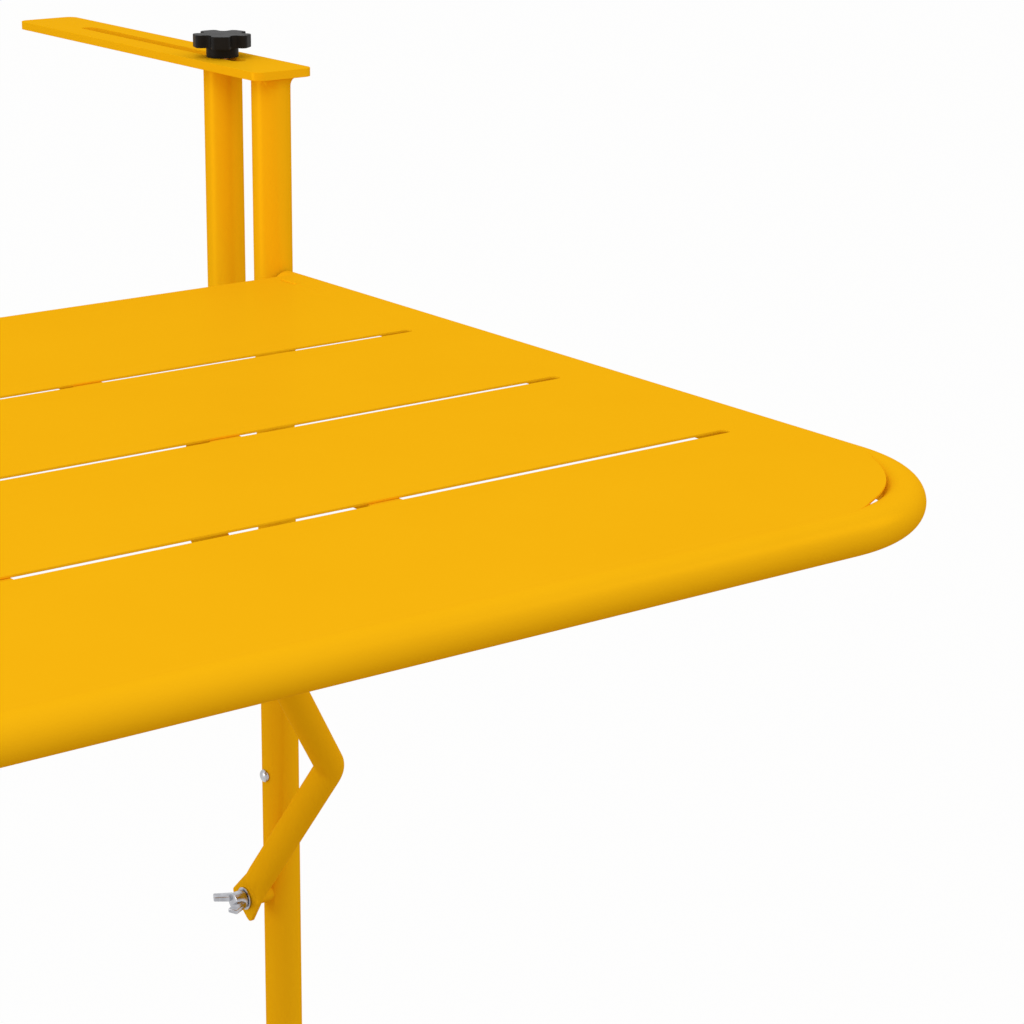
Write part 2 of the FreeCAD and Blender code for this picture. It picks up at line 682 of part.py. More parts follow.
def build():
    """Every piece of the table, by name. The left-hand pieces mirror the right-hand ones."""
    pieces = {
        "top_panel": top_panel(),
        "frame_tube": frame_tube(),
        "back_rail": back_rail(),
        "crossbar_middle": crossbar(0),
        "tie_tube": tie_tube(),
    }
    sided = {
        "post": post(),
        "strap": strap(),
        "crossbar": crossbar(CROSSBAR_PITCH),
        "hinge_ear": hinge_ear(),
        "stay": stay(),
        "foot_washer": foot_washer(),
        "wing_screw": wing_screw(),
        "clamp_tube": clamp_tube(),
        "clamp_plug": clamp_plug(),
        "clamp_stud": clamp_stud(),
        "clamp_cap": tube_cap(POST_X, CLAMP_Y, -SLIDE_GAP - CLAMP_LENGTH, CLAMP_TUBE),
        "knob": knob(),
        "knob_bush": knob_bush(),
    }
    pairs = {
        "post_caps": tube_cap(POST_X, POST_Y, -POST_LENGTH, POST),
        "strap_welds": strap_weld(),
        "hinge_pins": hinge_pin(),
        "hinge_washers": hinge_washer(),
        "stay_bosses": stay_boss(),
        "stop_rivets": stop_rivet(),
        "stay_brackets": stay_bracket(),
        "stay_pins": stay_pin(),
    }
    for name, shape in sided.items():
        for side in ("left", "right"):
            pieces[f"{name}_{side}"] = mirrored(shape, side)
    for name, shape in pairs.items():
        pieces[name] = Part.makeCompound([mirrored(shape, "left"), shape])
    return pieces


os.makedirs("parts", exist_ok=True)
for node, shape in build().items():
    shape.exportStep(f"parts/{node}.step")
    print(node, len(shape.Solids), round(shape.Volume, 1), shape.isValid())
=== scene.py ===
import json
import math

import bmesh
import bpy
from mathutils import Matrix, Quaternion, Vector


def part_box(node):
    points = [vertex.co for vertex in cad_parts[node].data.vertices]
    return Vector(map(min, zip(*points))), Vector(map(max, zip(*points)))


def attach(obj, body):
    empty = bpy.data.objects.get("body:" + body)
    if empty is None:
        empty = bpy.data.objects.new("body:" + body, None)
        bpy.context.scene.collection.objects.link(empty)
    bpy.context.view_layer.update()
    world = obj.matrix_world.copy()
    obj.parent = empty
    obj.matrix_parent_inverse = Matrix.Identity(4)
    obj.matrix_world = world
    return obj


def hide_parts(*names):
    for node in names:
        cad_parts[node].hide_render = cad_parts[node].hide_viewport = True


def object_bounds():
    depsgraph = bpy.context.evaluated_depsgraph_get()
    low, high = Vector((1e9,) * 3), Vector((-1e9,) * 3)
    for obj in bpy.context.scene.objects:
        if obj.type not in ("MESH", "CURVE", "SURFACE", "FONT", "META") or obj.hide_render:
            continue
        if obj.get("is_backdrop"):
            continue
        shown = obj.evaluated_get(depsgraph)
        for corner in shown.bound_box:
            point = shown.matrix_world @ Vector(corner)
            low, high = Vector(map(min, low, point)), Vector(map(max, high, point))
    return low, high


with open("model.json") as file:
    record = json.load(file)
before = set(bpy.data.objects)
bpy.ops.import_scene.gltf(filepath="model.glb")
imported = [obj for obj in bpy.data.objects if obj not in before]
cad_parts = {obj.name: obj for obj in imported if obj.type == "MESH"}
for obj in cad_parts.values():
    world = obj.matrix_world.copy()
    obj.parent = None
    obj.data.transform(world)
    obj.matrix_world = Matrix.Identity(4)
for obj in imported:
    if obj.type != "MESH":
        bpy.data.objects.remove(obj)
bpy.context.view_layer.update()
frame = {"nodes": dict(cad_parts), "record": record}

scene = bpy.context.scene
MM = 0.001

# The camera stands where the photographer stood: in front of the table's left half, a little above
# the straps, looking down across the top to its right front corner through a long lens.
CAMERA_PLACE = Vector((-371.6, -1020.6, 178.2)) * MM
CAMERA_YAW = math.radians(37.992)
CAMERA_PITCH = math.radians(16.688)
CAMERA_ROLL = math.radians(0.54)
PHOTO_SIDE = 1024
FOCAL_PIXELS = 2978.1
SENSOR = 36.0

camera_data = bpy.data.cameras.new("camera")
camera_data.sensor_width = SENSOR
camera_data.lens = FOCAL_PIXELS / PHOTO_SIDE * SENSOR
camera = bpy.data.objects.new("camera", camera_data)
scene.collection.objects.link(camera)
scene.camera = camera
heading = Vector((math.sin(CAMERA_YAW), math.cos(CAMERA_YAW), -math.tan(CAMERA_PITCH)))
camera.rotation_mode = "QUATERNION"
camera.rotation_quaternion = heading.to_track_quat("-Z", "Y") @ Quaternion((0, 0, 1), CAMERA_ROLL)
camera.location = CAMERA_PLACE

# Posts and tie: round steel tubes, the tie welded between the posts. Like every steel piece of the
# table they are sprayed with one satin powder coat and baked, which leaves a faint orange peel and
# a film that is never quite one yellow.
COAT_YELLOW = (0.925, 0.480, 0.006, 1)
COAT_DEEP = (0.905, 0.460, 0.005, 1)
COAT_CLOUD = 45 * MM
COAT_PEEL = 1.6 * MM
COAT_GRIT = 0.3 * MM
COAT_GRIT_SHARE = 0.2
COAT_PEEL_DEPTH = 0.012 * MM
COAT_ROUGH = 0.30
COAT_ROUGH_DRIFT = 0.08
COAT_SHEEN = 0.10
SHARP = math.radians(30)
NOISE_PLAIN = 1.0
NOISE_MOTTLED = 2.0
NOISE_RICH = 3.0


class Value:
    """What a node gives out, ready for sums with numbers and other values."""

    def __init__(self, finish, socket):
        self.finish = finish
        self.socket = socket

    def sum(self, operation, first, second):
        return self.finish.node("ShaderNodeMath", {"operation": operation}, {0: first, 1: second})

    def __add__(self, other):
        return self.sum("ADD", self, other)

    __radd__ = __add__

    def __mul__(self, other):
        return self.sum("MULTIPLY", self, other)

    __rmul__ = __mul__


class Finish:
    """The nodes of a material, or of the sky, in the making."""

    def __init__(self, owner):
        owner.use_nodes = True
        self.tree = owner.node_tree
        self.tree.nodes.clear()

    def node(self, kind, settings, inputs, output=0):
        made = self.tree.nodes.new(kind)
        for name, setting in settings.items():
            setattr(made, name, setting)
        for name, given in inputs.items():
            if isinstance(given, Value):
                self.tree.links.new(given.socket, made.inputs[name])
            else:
                made.inputs[name].default_value = given
        return Value(self, made.outputs[output]) if made.outputs else None

    def mix(self, share, first, second):
        """A colour between two colours."""
        return self.node("ShaderNodeMix", {"data_type": "RGBA"}, {0: share, 6: first, 7: second}, 2)

    def noise(self, size, detail, stretch=(1, 1, 1)):
        """Soft grey clouds of about one size, in metres, on the object's own coordinates."""
        place = self.node("ShaderNodeTexCoord", {}, {}, "Object")
        drawn = self.node("ShaderNodeMapping", {}, {"Vector": place, "Scale": stretch})
        return self.node("ShaderNodeTexNoise", {}, {"Vector": drawn, "Scale": 1 / size, "Detail": detail})

    def bump(self, height, depth):
        return self.node("ShaderNodeBump", {}, {"Height": height, "Distance": depth})

    def surface(self, inputs):
        shader = self.node("ShaderNodeBsdfPrincipled", {}, inputs)
        self.node("ShaderNodeOutputMaterial", {}, {"Surface": shader})


def powder_coat():
    material = bpy.data.materials.new("yellow_powder_coat")
    coat = Finish(material)
    drift = coat.noise(COAT_CLOUD, NOISE_RICH)
    peel = coat.noise(COAT_PEEL, NOISE_MOTTLED)
    grit = coat.noise(COAT_GRIT, NOISE_PLAIN)
    coat.surface({
        "Base Color": coat.mix(drift, COAT_DEEP, COAT_YELLOW),
        "Roughness": COAT_ROUGH - COAT_ROUGH_DRIFT / 2 + drift * COAT_ROUGH_DRIFT,
        "Normal": coat.bump(peel + grit * COAT_GRIT_SHARE, COAT_PEEL_DEPTH),
        "Metallic": COAT_SHEEN,
        "Specular IOR Level": 0.0,
        "Specular Tint": COAT_YELLOW,
    })
    return material


coat_finish = powder_coat()


def dress(node, finish):
    """A node that keeps its own mesh gets its finish."""
    mesh = frame["nodes"][node].data
    mesh.materials.clear()
    mesh.materials.append(finish)


for name in ("tie_tube", "post_left", "post_right"):
    dress(name, coat_finish)


def new_piece(name, body, shape, finish):
    """A bmesh becomes a piece on a body, smooth but for its sharp edges, finished and freed."""
    mesh = bpy.data.meshes.new(name)
    shape.to_mesh(mesh)
    shape.free()
    mesh.materials.append(finish)
    for face in mesh.polygons:
        face.use_smooth = True
    mesh.set_sharp_from_angle(angle=SHARP)
    piece = bpy.data.objects.new(name, mesh)
    scene.collection.objects.link(piece)
    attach(piece, body)
    return piece


WELD_SIDES = 10
WELD_RIPPLE = 0.10
WELD_PACE = 1.1
WELD_END = 0.45


def weld_bead(shape, line, size):
    """A bead along a line of points, half sunk in the joint, with the ripple of the torch's pauses."""
    loops = []
    last = len(line) - 1
    for index, point in enumerate(line):
        along = line[min(index + 1, last)] - line[max(index - 1, 0)]
        place = Matrix.Translation(point) @ along.to_track_quat("Z", "Y").to_matrix().to_4x4()
        swell = 1 + WELD_RIPPLE * math.sin(index * WELD_PACE)
        if index in (0, last):
            swell = WELD_END
        ring = bmesh.ops.create_circle(
            shape, cap_ends=index in (0, last), radius=size * swell, segments=WELD_SIDES, matrix=place
        )
        loops.append(list({edge for vert in ring["verts"] for edge in vert.link_edges}))
    for before, after in zip(loops, loops[1:]):
        bmesh.ops.bridge_loops(shape, edges=before + after)


SIDES = (("left", -1), ("right", 1))
TIE_WELD = 1.5 * MM
TIE_WELD_STEPS = 48
tie_low, tie_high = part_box("tie_tube")
post_low, post_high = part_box("post_right")
tie_radius = (tie_high.z - tie_low.z) / 2
tie_middle = (tie_low + tie_high) / 2
post_radius = (post_high.x - post_low.x) / 2
post_x = (post_high.x + post_low.x) / 2
tie_welds = bmesh.new()
for side, sign in SIDES:
    saddle = []
    for step in range(TIE_WELD_STEPS + 1):
        turn = math.tau * step / TIE_WELD_STEPS
        across = tie_radius * math.cos(turn)
        reach = post_x - math.sqrt(post_radius ** 2 - across ** 2)
        rise = tie_radius * math.sin(turn)
        saddle.append(Vector((sign * reach, tie_middle.y + across, tie_middle.z + rise)))
    weld_bead(tie_welds, saddle, TIE_WELD)
bmesh.ops.recalc_face_normals(tie_welds, faces=tie_welds.faces)
new_piece("tie_welds", "hanger", tie_welds, coat_finish)

# Straps: flat bar over the top end of each post, with a long slot for the clamp's stud. A concave
# fillet weld runs round the post's front and outer side, under the bar.
UP = Vector((0, 0, 1))
QUARTER = math.pi / 2
STRAP_EASE = 0.45 * MM
EASE_ROUNDS = 2
SAME_POINT = 0.002 * MM
SAME_PLANE = math.radians(0.5)
WELD_OUT = 3.4 * MM
WELD_DOWN = 4.2 * MM
WELD_FROM = math.radians(-150)
WELD_TO = math.radians(25)
WELD_FADE = math.radians(14)
WELD_STEPS = 36
WELD_CURVE = 6
WELD_EDGE_ROOM = 0.15 * MM
WELD_LUMPS = 24
WELD_LUMP = 0.03


def body_of(node):
    """The body that a node rides on."""
    for body, nodes in frame["record"]["behaviour"]["bodies"].items():
        if node in nodes:
            return body


def sharp_edges(shape):
    return [e for e in shape.edges if len(e.link_faces) == 2 and e.calc_face_angle() > SHARP]


def flats_stay_flat(piece):
    """Shades a piece so that the rounding along its edges doesn't spread over its flats."""
    piece.modifiers.new("even_shading", "WEIGHTED_NORMAL").keep_sharp = True


def eased(node, ease, finish):
    """A copy of a node whose sharp edges are rounded over, as a coat of paint or a mould leaves them."""
    shape = bmesh.new()
    shape.from_mesh(frame["nodes"][node].data)
    bmesh.ops.remove_doubles(shape, verts=shape.verts, dist=SAME_POINT)
    bmesh.ops.dissolve_limit(shape, angle_limit=SAME_PLANE, verts=shape.verts, edges=shape.edges)
    bmesh.ops.bevel(
        shape, geom=sharp_edges(shape), offset=ease, offset_type="OFFSET", affect="EDGES",
        segments=EASE_ROUNDS, profile=0.5, material=-1, clamp_overlap=True
    )
    piece = new_piece(node + "_eased", body_of(node), shape, finish)
    flats_stay_flat(piece)
    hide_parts(node)
    return piece


for name in ("strap_left", "strap_right"):
    eased(name, STRAP_EASE, coat_finish)

post_y = (post_low.y + post_high.y) / 2
strap_front = post_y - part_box("strap_right")[0].y - WELD_EDGE_ROOM
strap_welds = bmesh.new()
for side, sign in SIDES:
    before = set(strap_welds.verts)
    section = [strap_welds.verts.new((post_radius, 0, 0))]
    for step in range(WELD_CURVE + 1):
        bow = QUARTER * step / WELD_CURVE
        out = post_radius + WELD_OUT * (1 - math.sin(bow))
        section.append(strap_welds.verts.new((out, 0, -WELD_DOWN * (1 - math.cos(bow)))))
    face = strap_welds.faces.new(section)
    bmesh.ops.spin(
        strap_welds, geom=[face], axis=UP, angle=WELD_TO - WELD_FROM, steps=WELD_STEPS, cent=(0, 0, 0)
    )
    for vert in set(strap_welds.verts) - before:
        turn = math.atan2(vert.co.y, vert.co.x) % math.tau
        angle = turn + WELD_FROM
        lump = 1 + WELD_LUMP * math.sin(turn * WELD_LUMPS)
        full = lump * min(1, min(turn, WELD_TO - WELD_FROM - turn) / WELD_FADE)
        out = (vert.co.xy.length - post_radius) * full
        ahead = -math.sin(angle)
        if ahead > 0:
            out *= min(1, (strap_front / ahead - post_radius) / WELD_OUT)
        radius = post_radius + out
        across = sign * (post_x + radius * math.cos(angle))
        vert.co = Vector((across, post_y + radius * math.sin(angle), vert.co.z * full))
bmesh.ops.recalc_face_normals(strap_welds, faces=strap_welds.faces)
fillets = new_piece("strap_fillets", "hanger", strap_welds, coat_finish)
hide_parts("strap_welds")

# Table frame: one steel tube bent round the front and the sides, a tube across the back, and three
# flat bars between them under the sheet. All are welded together, then coated with the rest.
FRAME_X = 293.0 * MM
FRAME_Z = -86.0 * MM
FRAME_END_Y = -17.5 * MM
FRAME_FRONT_Y = -405.0 * MM
FRAME_BEND = 53.0 * MM
FRAME_SIDES = 64
FRAME_BEND_STEPS = 44
FRAME_RADIUS = 7.0 * MM
TUBE_WALL = 1.2 * MM
BEND_X = FRAME_X - FRAME_BEND
BEND_Y = FRAME_FRONT_Y + FRAME_BEND
RAIL_Y = -25.7 * MM
CROSSBAR_EASE = 0.4 * MM
BAR_WELD = 1.1 * MM
BAR_WELD_STEPS = 14
RAIL_WELD = 1.2 * MM
RAIL_WELD_STEPS = 24
RAIL_WELD_FROM = math.radians(185)
RAIL_WELD_SWEEP = math.radians(170)
CORNER_WELD = 0.7 * MM
CORNER_WELD_FROM = Vector((282.0, -31.0, -79.0)) * MM
CORNER_WELD_TO = Vector((282.0, -41.0, -79.0)) * MM


def ring_edges(ring):
    """The edges that join the vertices of a ring."""
    return list({edge for vert in ring for edge in vert.link_edges if all(v in ring for v in edge.verts)})


def vertices_in(made):
    return [item for item in made if isinstance(item, bmesh.types.BMVert)]


def drawn_on(shape, ring, way):
    """Draws a tube's skin on from a ring, straight; gives the new ring."""
    made = bmesh.ops.extrude_edge_only(shape, edges=ring_edges(ring))["geom"]
    bmesh.ops.translate(shape, vec=way, verts=vertices_in(made))
    return vertices_in(made)


def bent_on(shape, ring, centre, axis, angle, steps):
    """Draws a tube's skin on from a ring, round a bend; gives the new ring."""
    made = bmesh.ops.spin(shape, geom=ring_edges(ring), cent=centre, axis=axis, angle=angle, steps=steps)
    return vertices_in(made["geom_last"])


def first_ring(shape, radius, base, axis):
    place = Matrix.Translation(base) @ Vector(axis).to_track_quat("Z", "Y").to_matrix().to_4x4()
    return bmesh.ops.create_circle(shape, radius=radius, segments=FRAME_SIDES, matrix=place)["verts"]


def frame_skin(shape, radius):
    """One skin of the frame tube, from its right end round the front to its left; gives its end rings."""
    first = first_ring(shape, radius, Vector((FRAME_X, FRAME_END_Y, FRAME_Z)), (0, -1, 0))
    side_run = Vector((0, BEND_Y - FRAME_END_Y, 0))
    ring = drawn_on(shape, first, side_run)
    ring = bent_on(shape, ring, (BEND_X, BEND_Y, FRAME_Z), UP, -QUARTER, FRAME_BEND_STEPS)
    ring = drawn_on(shape, ring, Vector((-2 * BEND_X, 0, 0)))
    ring = bent_on(shape, ring, (-BEND_X, BEND_Y, FRAME_Z), UP, -QUARTER, FRAME_BEND_STEPS)
    return first, drawn_on(shape, ring, -side_run)


def rail_skin(shape, radius):
    """One skin of the back rail, its ends coped to sit against the side tubes; gives its end rings."""
    first = first_ring(shape, radius, Vector((-FRAME_X, RAIL_Y, FRAME_Z)), (1, 0, 0))
    last = drawn_on(shape, first, Vector((2 * FRAME_X, 0, 0)))
    for vert in first + last:
        rise = vert.co.z - FRAME_Z
        reach = FRAME_X - math.sqrt(max(FRAME_RADIUS ** 2 - rise ** 2, 0))
        vert.co.x = math.copysign(reach, vert.co.x)
    return first, last


for name, node, skin in (("bent_frame", "frame_tube", frame_skin), ("coped_rail", "back_rail", rail_skin)):
    shape = bmesh.new()
    outer = skin(shape, FRAME_RADIUS)
    inner = skin(shape, FRAME_RADIUS - TUBE_WALL)
    for ring, bore in zip(outer, inner):
        bmesh.ops.bridge_loops(shape, edges=ring_edges(ring) + ring_edges(bore))
    bmesh.ops.recalc_face_normals(shape, faces=shape.faces)
    piece = new_piece(name, "top", shape, coat_finish)
    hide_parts(node)
for name in ("crossbar_left", "crossbar_middle", "crossbar_right"):
    eased(name, CROSSBAR_EASE, coat_finish)


def between(start, end, steps):
    """Points along a straight line."""
    return [start.lerp(end, step / steps) for step in range(steps + 1)]


frame_welds = bmesh.new()
for name in ("crossbar_left", "crossbar_middle", "crossbar_right"):
    low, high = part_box(name)
    for y in (low.y, high.y):
        near = Vector((low.x, y, low.z))
        far = Vector((high.x, y, low.z))
        weld_bead(frame_welds, between(near, far, BAR_WELD_STEPS), BAR_WELD)
for side, sign in SIDES:
    saddle = []
    for step in range(RAIL_WELD_STEPS + 1):
        turn = RAIL_WELD_FROM + RAIL_WELD_SWEEP * step / RAIL_WELD_STEPS
        rise = FRAME_RADIUS * math.sin(turn)
        reach = FRAME_X - math.sqrt(FRAME_RADIUS ** 2 - rise ** 2)
        saddle.append(Vector((sign * reach, RAIL_Y + FRAME_RADIUS * math.cos(turn), FRAME_Z + rise)))
    weld_bead(frame_welds, saddle, RAIL_WELD)
    flip = Vector((sign, 1, 1))
    corner = between(CORNER_WELD_FROM * flip, CORNER_WELD_TO * flip, BAR_WELD_STEPS)
    weld_bead(frame_welds, corner, CORNER_WELD)
bmesh.ops.recalc_face_normals(frame_welds, faces=frame_welds.faces)
new_piece("frame_welds", "top", frame_welds, coat_finish)

# Sheet top: flat steel with three rows of long slots cut through, let in flush between the tubes and
# welded along their crests. The joint is ground flush, but for a thin gap at each front corner.
SHEET_THICK = 1.0 * MM
SHEET_CORNER = 67.0 * MM
SHEET_CORNER_STEPS = 48
SHEET_TOP = FRAME_Z + FRAME_RADIUS
FLUSH_BELOW = 1.0 * MM        # the welded edge is closed where it stops this short of the crest
GAP_ABOVE = 4.4 * MM          # and stays as it was cut where it stops this far short
GAP_EDGE_FROM = 3.5 * MM      # the rim is rounded where it stands off the crest by more than this
SLOT_ROWS = (-312.0 * MM, -222.0 * MM, -133.0 * MM)
SLOT_REACH = 272.6 * MM
SLOT_HALF = 2.0 * MM
SLOT_END_STEPS = 8
SLOT_EASE = 0.3 * MM
SLOT_ROUND = 1.96 * MM
SLOT_SEARCH = 0.1 * MM
HALF_UNIT = 0.5


def smooth_step(share):
    """From 0 to 1 with an easy start and end."""
    share = min(max(share, 0), 1)
    return share * share * (3 - 2 * share)


def cut_line(shape, low, high, rounded, radius, steps):
    """The outline of a rectangle in the plane of the sheet's top; the rounded corners are picked by Y."""
    before = set(shape.faces)
    corners = bmesh.ops.create_grid(shape, x_segments=1, y_segments=1, size=HALF_UNIT)["verts"]
    size = high - low
    bmesh.ops.scale(shape, vec=(size.x, size.y, 1), verts=corners)
    bmesh.ops.translate(shape, vec=(low + high) / 2, verts=corners)
    bmesh.ops.bevel(
        shape, geom=[v for v in corners if v.co.y < rounded], offset=radius, offset_type="OFFSET",
        affect="VERTICES", segments=steps, profile=0.5, material=-1
    )
    bmesh.ops.delete(shape, geom=list(set(shape.faces) - before), context="FACES_ONLY")


def from_crest(point):
    """The way out from the bend's middle to a point, and how far the point stops short of the crest."""
    out = Vector((max(abs(point.x) - BEND_X, 0), min(point.y - BEND_Y, 0)))
    return out, FRAME_BEND - out.length


panel = bmesh.new()
cut_line(
    panel, Vector((-FRAME_X, FRAME_FRONT_Y, SHEET_TOP)), Vector((FRAME_X, RAIL_Y, SHEET_TOP)),
    BEND_Y, SHEET_CORNER, SHEET_CORNER_STEPS
)
for vert in panel.verts:
    out, gap = from_crest(vert.co)
    if out.length > 0:
        gap *= smooth_step((gap - FLUSH_BELOW) / (GAP_ABOVE - FLUSH_BELOW))
        out *= (FRAME_BEND - gap) / out.length
    if abs(vert.co.x) > BEND_X:
        vert.co.x = math.copysign(BEND_X + out.x, vert.co.x)
    if vert.co.y < BEND_Y:
        vert.co.y = BEND_Y + out.y
for row in SLOT_ROWS:
    near = Vector((-SLOT_REACH, row - SLOT_HALF, SHEET_TOP))
    far = Vector((SLOT_REACH, row + SLOT_HALF, SHEET_TOP))
    cut_line(panel, near, far, 0, SLOT_ROUND, SLOT_END_STEPS)
bmesh.ops.triangle_fill(panel, use_beauty=True, use_dissolve=False, edges=panel.edges, normal=UP)
under = bmesh.ops.extrude_face_region(panel, geom=panel.faces)["geom"]
bmesh.ops.translate(panel, vec=UP * -SHEET_THICK, verts=vertices_in(under))
bmesh.ops.recalc_face_normals(panel, faces=panel.faces)
rims = []
for edge in sharp_edges(panel):
    middle = (edge.verts[0].co + edge.verts[1].co) / 2
    along = abs(middle.x) < SLOT_REACH + SLOT_SEARCH
    across = any(abs(middle.y - row) < SLOT_HALF + SLOT_SEARCH for row in SLOT_ROWS)
    in_corner = abs(middle.x) > BEND_X and middle.y < BEND_Y and from_crest(middle)[1] > GAP_EDGE_FROM
    if (along and across) or in_corner:
        rims.append(edge)
bmesh.ops.bevel(
    panel, geom=rims, offset=SLOT_EASE, offset_type="OFFSET", affect="EDGES",
    segments=EASE_ROUNDS, profile=0.5, material=-1, clamp_overlap=True
)
sheet_top = new_piece("sheet_top", "top", panel, coat_finish)
flats_stay_flat(sheet_top)
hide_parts("top_panel")

# Hinge of the top: a plate ear under each end of the back rail turns on a zinc-plated rivet through
# the post, with a thin washer between the two. Both ends of the rivet are hammered to a dome.
# The zinc's colour runs in long streaks between a bright tone and a dark one: uneven plating, and painted
# reflection, the darkness of surroundings mirrored in the metal painted into its colour.
ZINC = (0.66, 0.67, 0.71, 1)
ZINC_STREAK_AND_PAINTED_REFLECTION = (0.26, 0.26, 0.28, 1)
ZINC_CLOUD = 2.6 * MM
ZINC_STREAK = (1, 1, 0.25)
ZINC_GRAIN = 0.25 * MM
ZINC_GRAIN_DEPTH = 0.006 * MM
ZINC_ROUGH = 0.16
ZINC_ROUGH_DRIFT = 0.18
EAR_EASE = 0.4 * MM
EAR_WELD = 1.0 * MM
EAR_WELD_STEPS = 26
DISC_EASE = 0.15
RIVET_INNER = 2.1
RIVET_OUTER = 2.3
RIVET_RADIUS = 4.6
RIVET_SHANK = 2.5
RIVET_ROOM = 0.1 * MM
HINGE_WASHER = (5.5, 0.6, 2.5)
TURN_STEPS = 40
TURN_SEAM = 0.001 * MM
DOME_STEPS = 7
DOME_RIM = 0.25


def zinc_plate():
    material = bpy.data.materials.new("zinc_plate")
    zinc = Finish(material)
    # Painted reflection: the stretched clouds lay dark streaks into the plated metal's colour, besides its
    # uneven plating.
    cloud = zinc.noise(ZINC_CLOUD, NOISE_PLAIN, ZINC_STREAK)
    grain = zinc.noise(ZINC_GRAIN, NOISE_MOTTLED)
    zinc.surface({
        "Base Color": zinc.mix(cloud, ZINC_STREAK_AND_PAINTED_REFLECTION, ZINC),
        "Metallic": 1.0,
        "Roughness": ZINC_ROUGH + cloud * ZINC_ROUGH_DRIFT,
        "Normal": zinc.bump(grain, ZINC_GRAIN_DEPTH),
    })
    return material


zinc_finish = zinc_plate()
for name in ("hinge_ear_left", "hinge_ear_right"):
    eased(name, EAR_EASE, coat_finish)
ear_welds = bmesh.new()
ear_low, ear_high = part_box("hinge_ear_right")
for side, sign in SIDES:
    for x in (ear_low.x, ear_high.x):
        front = Vector((sign * x, ear_low.y + EAR_WELD, ear_high.z))
        back = Vector((sign * x, RAIL_Y - FRAME_RADIUS, ear_high.z))
        weld_bead(ear_welds, between(front, back, EAR_WELD_STEPS), EAR_WELD)
bmesh.ops.recalc_face_normals(ear_welds, faces=ear_welds.faces)
new_piece("ear_welds", "top", ear_welds, coat_finish)


def turned(shape, profile, base, axis):
    """A profile of radii and heights, in millimetres, turned into a solid that stands on a base."""
    before = set(shape.verts)
    line = [shape.verts.new((radius * MM, 0, height * MM)) for radius, height in profile]
    edges = [shape.edges.new(pair) for pair in zip(line, line[1:])]
    bmesh.ops.spin(
        shape, geom=line + edges, cent=(0, 0, 0), axis=UP, angle=math.tau, steps=TURN_STEPS,
        use_merge=True
    )
    bmesh.ops.remove_doubles(shape, verts=list(set(shape.verts) - before), dist=TURN_SEAM)
    made = list(set(shape.verts) - before)
    bmesh.ops.recalc_face_normals(shape, faces=list({face for vert in made for face in vert.link_faces}))
    place = Matrix.Translation(base) @ Vector(axis).to_track_quat("Z", "Y").to_matrix().to_4x4()
    bmesh.ops.transform(shape, matrix=place, verts=made)


def domed(radius, height):
    """The profile of a hammered rivet head, from the middle of its crown round to its flat side."""
    profile = []
    for step in range(DOME_STEPS + 1):
        turn = QUARTER * step / DOME_STEPS
        rise = DOME_RIM + (1 - DOME_RIM) * math.cos(turn)
        profile.append((radius * math.sin(turn), height * rise))
    return profile + [(radius, 0), (0, 0)]


def rod(radius, length):
    """The profile of a plain round rod."""
    return [(0, 0), (radius, 0), (radius, length), (0, length)]


def disc(radius, thick, bore, ease=DISC_EASE):
    """The profile of a washer whose edges are broken, bore first."""
    return [
        (bore, 0), (radius - ease, 0), (radius, ease), (radius, thick - ease),
        (radius - ease, thick), (bore, thick), (bore, 0),
    ]


def middle_line(node):
    """The point at X = 0 on the line through the middle of rivets or screws that lie along X."""
    low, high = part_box(node)
    return Vector((0, (low.y + high.y) / 2, (low.z + high.z) / 2))


pin_line = middle_line("hinge_pins")
pin_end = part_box("hinge_pins")[1].x
washer_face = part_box("hinge_washers")[1].x
rivets = bmesh.new()
washers = bmesh.new()
for side, sign in SIDES:
    outer = pin_line + Vector((sign * (pin_end - RIVET_OUTER * MM), 0, 0))
    inner = pin_line + Vector((sign * (ear_low.x - RIVET_ROOM), 0, 0))
    turned(rivets, domed(RIVET_RADIUS, RIVET_OUTER), outer, (sign, 0, 0))
    turned(rivets, domed(RIVET_RADIUS, RIVET_INNER), inner, (-sign, 0, 0))
    turned(rivets, rod(RIVET_SHANK, (outer - inner).length / MM), inner, (sign, 0, 0))
    seat = pin_line + Vector((sign * washer_face, 0, 0))
    turned(washers, disc(*HINGE_WASHER), seat, (-sign, 0, 0))
hinge_rivets = new_piece("hinge_rivets", "hanger", rivets, zinc_finish)
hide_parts("hinge_pins")
thin_washers = new_piece("thin_washers", "hanger", washers, zinc_finish)
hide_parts("hinge_washers")

# Stays: each one steel tube with a single bend, pressed flat at both ends for its screw and rivet.
# The round of the tube runs out on each flat in an arch, and the flats are cropped square.
STAY_RADIUS = 6.25
STAY_X = 275.05
STAY_HEAD_X = 134.0
STAY_FOOT = Vector((0, -8.0, -357.0))
STAY_HEAD = Vector((0, -210.5, -102.0))
STAY_BEND_AT = 104.6
STAY_BEND_RADIUS = 20.0
STAY_SIDES = 64
STAY_BEND_STEPS = 16
LUG_END_HALF = 8.9
LUG_NECK_HALF = 7.2
LUG_HALF_THICK = 1.2
LUG_SQUARENESS = 9
PRESS_SOFTNESS = 2.6
PRESS_STEEPNESS = 2
PRESS_RINGS = 26
CROP_RINGS = 6
RUN_RINGS = 3
FOOT_SHAPE = {"end": 6.5, "flat": 7.5, "blend": 15.0, "corner": 1.5}
HEAD_SHAPE = {"end": 8.0, "flat": 12.0, "blend": 15.0, "corner": 4.0}


def pressed_heights(end):
    """Heights of the rings from a flat's cropped end up to the round tube, closer where it changes."""
    heights = []
    for step in range(CROP_RINGS + 1):
        turn = QUARTER * step / CROP_RINGS
        heights.append(-end["end"] + end["corner"] * (1 - math.cos(turn)))
    for step in range(PRESS_RINGS + 1):
        turn = QUARTER * step / PRESS_RINGS
        heights.append(end["flat"] + end["blend"] * (1 - math.cos(turn)))
    return heights


